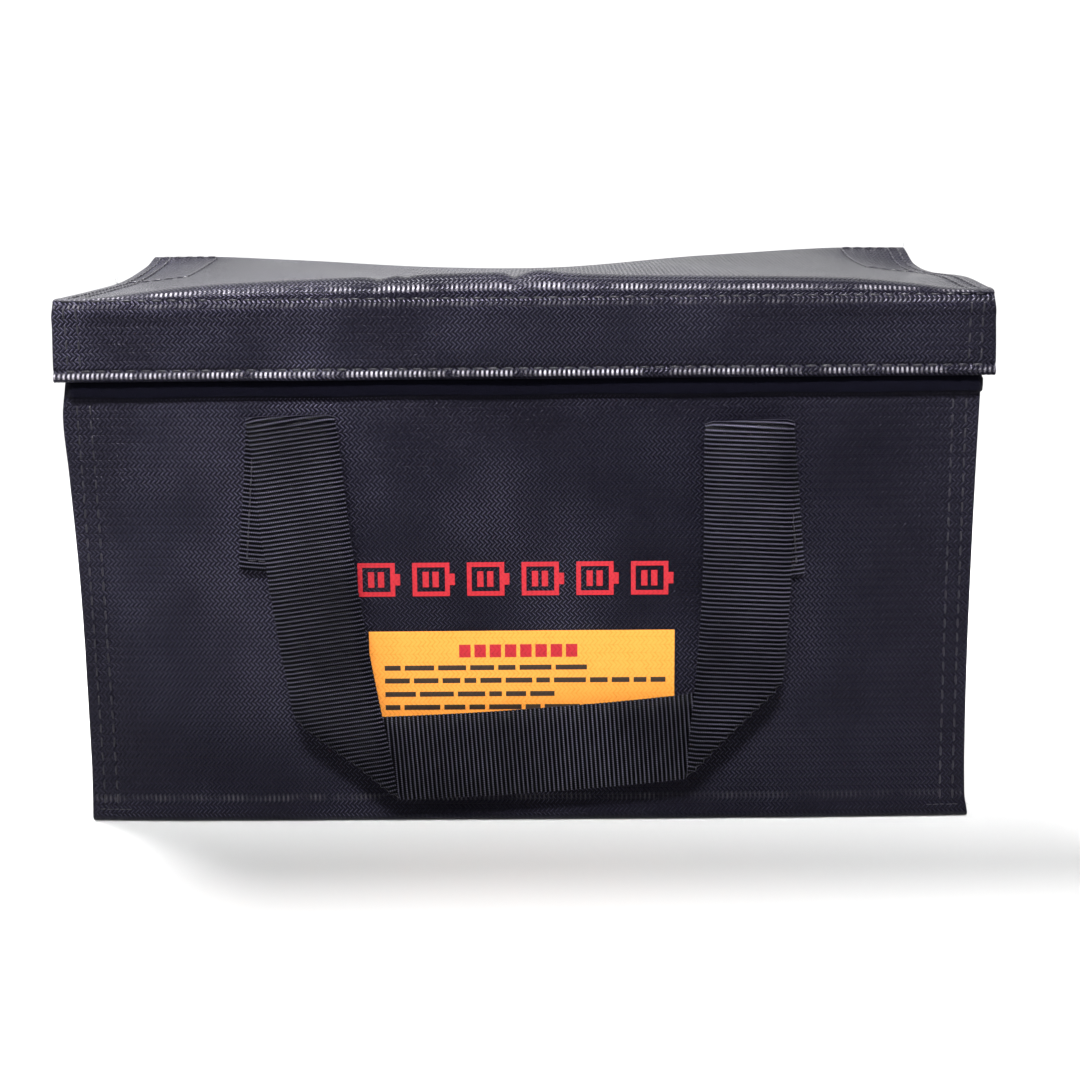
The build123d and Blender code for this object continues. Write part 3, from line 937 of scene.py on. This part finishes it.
rear_height = panel_height(columns * lid_edge, half_d + 0 * columns) - rear_fold
for step in range(1, 7):
    turn = math.radians(15 * step)
    x = columns * lid_edge
    y = half_d - rear_fold + rear_fold * math.sin(turn) + 0 * x
    lid_lines.append((x, y, rear_height + rear_fold * math.cos(turn), rear_start + 0.47 * step))
for share in np.linspace(0, 1, 19)[1:]:
    z = rear_height + (strip_join - rear_height) * share
    widen = np.clip((z - 148) / 8, 0, 1)
    edge = strip_edge(z, columns)
    x = columns * (edge + (lid_edge - edge) * widen ** 2 * (3 - 2 * widen))
    lid_lines.append((x, half_d + rear_out(x, z), z, rear_start + 2.8 + 17 * share))
points = np.array([np.stack([x, y, z], axis=1) for x, y, z, along in lid_lines])
cut = np.array([np.stack([x, 0 * x + along], axis=1) for x, y, z, along in lid_lines])
lid_cloth = cloth_panel("Lid_cloth", points, cut)
# Rows of painted highlight beads along the hem roll, the ridge roll and just under the ridge seam.
lid_folds = ((lid_low.z + 1.8, 0.95, 0.60), (ridge_seam + 3.6, 1.5, 0.38), (ridge_seam - 1.6, 0.8, 0.12))
lid_cloth.data.materials.append(coated_cloth("Folded_glass_cloth", lid_folds))
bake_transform(lid_cloth)
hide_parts("lid_wrap")

# ==== Lid sides, patches and lining =================================================
# A skirt of the same cloth is sewn under each side edge of the top panel, with a square
# patch under each rear corner, and a light lining covers the underside between them.


def side_skirt_out(y, z):
    """How far a side skirt's face stands out from its flat cut."""
    hem_roll = 0.55 * hump(z, lid_low.z + 1.5, 1.05) - 0.35 * hump(z, lid_low.z + 3.1, 0.6)
    soft = 0.35 * np.sin(y / 17) * np.sin((z - lid_low.z) / 8)
    return hem_roll + soft - 0.3


def side_skirt_face(side):
    def place(u, z):
        return np.array([side * (lid_high.x + float(side_skirt_out(side * u, z))), side * u, z])

    return place


for side, word, crest in ((-1, "left", left_crest), (1, "right", right_crest)):
    node_low, node_high = (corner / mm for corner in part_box("lid_side_skirt_" + word))
    y = side * lines((node_low.y + 0.2, node_high.y - 1.2, 70))[::side]
    up = np.concatenate([np.linspace(0, 0.2, 19), np.linspace(0.2, 1, 24)[1:]])
    across, share = np.meshgrid(y * side, up)
    z = lid_low.z + share * (crest(across) - cloth - 0.1 - lid_low.z)
    x = side * (lid_high.x + side_skirt_out(across, z))
    skirt = cloth_panel("Lid_side_skirt_" + word + "_cloth", np.stack([x, across, z], axis=2),
                        np.stack([across, z], axis=2))
    skirt.data.materials.append(coated)
    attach(skirt, "lid")
    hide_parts("lid_side_skirt_" + word)

    patch_low, patch_high = (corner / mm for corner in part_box("lid_corner_patch_" + word))
    across, back = np.meshgrid(np.linspace(patch_low.x, patch_high.x, 14),
                               np.linspace(patch_low.y, patch_high.y - 2, 30))
    z = panel_height(across, back) - cloth - 0.05
    patch = cloth_panel("Lid_corner_patch_" + word + "_cloth", np.stack([across, back, z], axis=2),
                        np.stack([across, back], axis=2), 0.9)
    patch.data.materials.append(coated)
    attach(patch, "lid")
    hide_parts("lid_corner_patch_" + word)

under_low, under_high = (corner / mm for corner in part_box("lid_lining"))
inner_x = under_high.x
across, back = np.meshgrid(np.linspace(-inner_x, inner_x, 80),
                           lines((under_high.y - 4, under_low.y, 60)))
back_share = np.clip((back - patch_low.y) / 2, 0, 1)
narrow = inner_x - 12.0
across = across * (1 + (narrow / inner_x - 1) * back_share)
z = panel_height(across, np.maximum(back, crest_y)) - cloth - lining - 0.2
z = z - np.clip((crest_y - back) / 7, 0, 1) ** 2 * 2.2
under = cloth_panel("Lid_lining_cloth", np.stack([across, back, z], axis=2),
                    np.stack([across, back], axis=2), lining)
under.data.materials.append(lining_finish)
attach(under, "lid")
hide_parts("lid_lining")

# ==== Hook tape =====================================================================
# Stiff nylon hook tape, sewn inside the three skirts, grips the loop tape on the body.


def hooks():
    material, tree, surface, math_node = shader("Hook_tape_nylon", Roughness=0.5, Specular_IOR_Level=0.4)
    place = tree.nodes.new("ShaderNodeTexCoord")
    cell = tree.nodes.new("ShaderNodeTexVoronoi")
    cell.inputs["Scale"].default_value = 950.0
    cell.inputs["Randomness"].default_value = 0.35
    tree.links.new(place.outputs["Object"], cell.inputs["Vector"])
    point = math_node("SUBTRACT", 1.0, math_node("MULTIPLY", cell.outputs["Distance"], 1.4))
    bump(tree, surface, math_node("MULTIPLY_ADD", noise(tree, 2500.0), 0.3, point), 0.45)
    tint = ramp(tree, point, 0.2, 0.9, (0.004, 0.004, 0.006), (0.030, 0.029, 0.036))
    tree.links.new(tint, surface.inputs["Base Color"])
    return material


hook_finish = hooks()
hook_low, hook_high = (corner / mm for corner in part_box("hook_tape_front"))
hook_thick = hook_high.y - hook_low.y
hook_z = np.linspace(hook_low.z, hook_high.z, 26)
across, up = np.meshgrid(np.linspace(hook_high.x, hook_low.x, 120), hook_z)
y = skirt_y + cloth + hook_thick - skirt_out(across, up) * 0.8
hook_pieces = [("front", np.stack([across, y, up], axis=2), np.stack([across, up], axis=2))]
for side, word in ((-1, "left"), (1, "right")):
    node_low, node_high = (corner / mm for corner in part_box("hook_tape_" + word))
    back, up = np.meshgrid(np.linspace(node_low.y, node_high.y, 60)[::-side], hook_z)
    x = side * (lid_high.x - cloth - hook_thick + side_skirt_out(back, up) * 0.8)
    hook_pieces.append((word, np.stack([x, back, up], axis=2), np.stack([back, up], axis=2)))
for word, points, cut in hook_pieces:
    hook_band = cloth_panel("Hook_tape_" + word + "_band", points, cut, hook_thick)
    hook_band.data.materials.append(hook_finish)
    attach(hook_band, "lid")
    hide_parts("hook_tape_" + word)

# ==== Lid stitches ==================================================================
# Two rows hold each side edge, the same two turn down the ends of the skirt, and one row each
# runs along the ridge, the hems and round the patches.


def top_face(x, y):
    return np.array([x, y, float(lid_top(x, y))])


def skirt_face(x, z):
    return np.array([x, skirt_y - float(skirt_out(x, z)), z])


edge_seams, skirt_seams, patch_seams = [], [], []
patch_front = patch_low.y
for side in (-1, 1):
    for inset in lid_rows:
        row_x = side * (lid_edge - inset)
        edge_seams.append((top_face, ((row_x, -63), (row_x, patch_front - 2))))
        skirt_seams.append((skirt_face, ((row_x, lid_low.z + 4), (row_x, ridge_seam - 1.5))))
    low_x, high_x = side * (lid_edge - 2.6), side * (lid_edge - 22.5)
    corners = ((low_x, patch_front), (low_x, 62), (high_x, 62), (high_x, patch_front), (low_x, patch_front))
    patch_seams.append((top_face, corners))
    patch_seams.append((top_face, ((side * (lid_edge - 6), patch_front), (side * (lid_edge - 6), 62))))
    skirt_seams.append((side_skirt_face(side), ((-62, lid_low.z + 3.1), (62, lid_low.z + 3.1))))
skirt_seams.append((skirt_face, ((2 - lid_edge, lid_low.z + 3.1), (lid_edge - 2, lid_low.z + 3.1))))
skirt_seams.append((skirt_face, ((2 - lid_edge, ridge_seam), (lid_edge - 2, ridge_seam))))
sew("Lid_edge_stitches", edge_seams, "lid", ["lid_edge_threads"], size=1.25)
sew("Lid_skirt_stitches", skirt_seams, "lid", ["lid_skirt_threads"])
sew("Patch_stitches", patch_seams, "lid", ["patch_threads"], size=1.3)

# ==== Frayed yarns ==================================================================
# The cloth is cut, not hemmed, along the lid's side edges, and a few glass yarns have worked
# loose there and at two corners of the body.


def frayed(name, body, tufts):
    """Loose yarns: each tuft is a root, the way it points, a length and a count."""
    strands = []
    for root, way, length, count in tufts:
        for index in range(count):
            deselect()
            bpy.ops.mesh.primitive_cylinder_add(vertices=5, radius=0.07 * mm, depth=length * mm)
            strand = bpy.context.object
            bpy.ops.object.mode_set(mode="EDIT")
            bpy.ops.mesh.select_all(action="SELECT")
            bpy.ops.transform.translate(value=(0, 0, length * mm / 2))
            for cut_at in (0.2, 0.4, 0.6, 0.8):
                bpy.ops.mesh.select_all(action="SELECT")
                bpy.ops.mesh.bisect(plane_co=(0, 0, length * mm * cut_at), plane_no=(0, 0, 1))
            bpy.ops.object.mode_set(mode="OBJECT")
            bend = Vector([random.uniform(-1, 1) for axis in range(3)]) * 0.7
            aim = (Vector(way) + bend * 0.6).normalized()
            grow = random.uniform(0.6, 1.1)
            for vertex in strand.data.vertices:
                t = vertex.co.z / (length * mm)
                ring = Vector((vertex.co.x, vertex.co.y, 0)) * (1 - 0.5 * t)
                vertex.co = Vector(root) * mm + ring + (aim * t + bend * t * t * 0.6) * length * mm * grow
            strands.append(strand)
    deselect()
    for strand in strands:
        strand.select_set(True)
    bpy.context.view_layer.objects.active = strands[0]
    bpy.ops.object.join()
    tuft = bpy.context.object
    bpy.ops.object.transform_apply(location=True, rotation=True, scale=True)
    bpy.ops.object.mode_set(mode="EDIT")
    bpy.ops.mesh.select_all(action="SELECT")
    bpy.ops.mesh.normals_make_consistent(inside=False)
    bpy.ops.object.mode_set(mode="OBJECT")
    bpy.ops.object.shade_smooth()
    tuft.name = name
    tuft.data.materials.append(glass_yarn)
    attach(tuft, body)


glass_yarn, tree, surface = shader("Glass_yarn", Roughness=0.55, Specular_IOR_Level=0.5)[:3]
tree.links.new(ramp(tree, noise(tree, 900.0), 0.3, 0.7, (0.10, 0.10, 0.11), (0.42, 0.42, 0.44)),
               surface.inputs["Base Color"])
random.seed(5)
lid_tufts = [((-lid_edge, 9, 154.8), (-0.8, 0, 0.7), 4.0, 6),
             ((lid_edge, 63, 161.0), (0.5, 0.5, 0.8), 4.5, 5),
             ((-lid_edge, -64, 155.2), (-0.7, -0.2, -0.4), 1.6, 3)]
frayed("Lid_frayed_yarns", "lid", lid_tufts)
body_tufts = [((half_w + 1.4, -half_d - 0.4, 3.0), (0.7, -0.5, 0.1), 1.8, 4),
              ((-half_w - 1.4, -half_d - 0.4, 2.5), (-0.6, -0.6, 0.1), 1.6, 3)]
frayed("Body_frayed_yarns", "bag", body_tufts)

# ==== Floor, light and camera =======================================================
# A plain pale floor, a key light from behind on the left whose soft shadow falls forwards
# and to the right, and three softboxes.  The air is brightest near the horizon and to the
# rear, and the camera alone sees it plain white.
deselect()
bpy.ops.mesh.primitive_plane_add(size=60)
floor = bpy.context.object
floor.name = "Floor"
paint = shader("Pale_floor", Roughness=0.9, Specular_IOR_Level=0.0, Emission_Strength=0.12,
               Emission_Color=(1, 1, 1, 1), Base_Color=(0.55, 0.55, 0.55, 1))[0]
floor.data.materials.append(paint)

world = bpy.data.worlds.new("Studio")
bpy.context.scene.world = world
world.use_nodes = True
tree = world.node_tree
air = tree.nodes["Background"]
place = tree.nodes.new("ShaderNodeTexCoord")
parts = tree.nodes.new("ShaderNodeSeparateXYZ")
tree.links.new(place.outputs["Generated"], parts.inputs[0])
low_air = number_ramp(tree, parts.outputs[2], 0.10, 0.60, 1.7, 0.20)
rear_air = number_ramp(tree, parts.outputs[1], -0.3, 0.5, 0.16, 1.0)
room = tree.nodes.new("ShaderNodeMath")
room.operation = "MULTIPLY"
tree.links.new(low_air, room.inputs[0])
tree.links.new(rear_air, room.inputs[1])
sight = tree.nodes.new("ShaderNodeLightPath")
seen = tree.nodes.new("ShaderNodeMath")
seen.operation = "MAXIMUM"
tree.links.new(room.outputs[0], seen.inputs[0])
tree.links.new(sight.outputs["Is Camera Ray"], seen.inputs[1])
tree.links.new(seen.outputs[0], air.inputs["Strength"])
air.inputs["Color"].default_value = (1.0, 1.0, 1.0, 1)

deselect()
bpy.ops.object.light_add(type="SUN", location=(-0.6, 0.8, 2))
key = bpy.context.object
key.name = "Key_sun"
key.data.energy = 5.6
key.data.angle = math.radians(17)
key.rotation_euler = Vector((0.30, -0.38, -1.0)).to_track_quat("-Z", "Y").to_euler()


def soft_light(name, place, aim, size, power, spread=180):
    """A rectangular softbox; spread is in degrees, and a small one acts as a grid."""
    deselect()
    bpy.ops.object.light_add(type="AREA", location=place)
    lamp = bpy.context.object
    lamp.name = name
    lamp.data.shape = "RECTANGLE"
    lamp.data.size, lamp.data.size_y = size
    lamp.data.energy = power
    lamp.data.spread = math.radians(spread)
    lamp.rotation_euler = (Vector(aim) - Vector(place)).to_track_quat("-Z", "Y").to_euler()


soft_light("Overhead_softbox", (-0.05, -0.62, 0.95), (0, 0.04, 0.15), (0.8, 0.11), 3.3, 28)
soft_light("Left_softbox", (-0.75, -0.62, 0.40), (-0.1, 0, 0.06), (0.25, 0.5), 0.9)
soft_light("Right_softbox", (0.75, -0.75, 0.45), (0.1, 0, 0.1), (0.2, 0.5), 0.5)

bpy.ops.object.camera_add()
camera = bpy.context.object
camera.name = "Camera"
camera.data.sensor_width = 36
camera.data.lens = 56.7         # on a sensor 36 mm wide
camera.data.clip_start = 0.01
turn = Matrix.Rotation(math.radians(0.49), 4, "Z")
tilt = Matrix.Rotation(math.radians(90 - 12.69), 4, "X")
lean = Matrix.Rotation(math.radians(-0.54), 4, "Z")
camera.matrix_world = Matrix.Translation((0.0084, -0.5499, 0.1940)) @ turn @ tilt @ lean
bpy.context.scene.camera = camera
bpy.context.scene.view_settings.view_transform = "Standard"
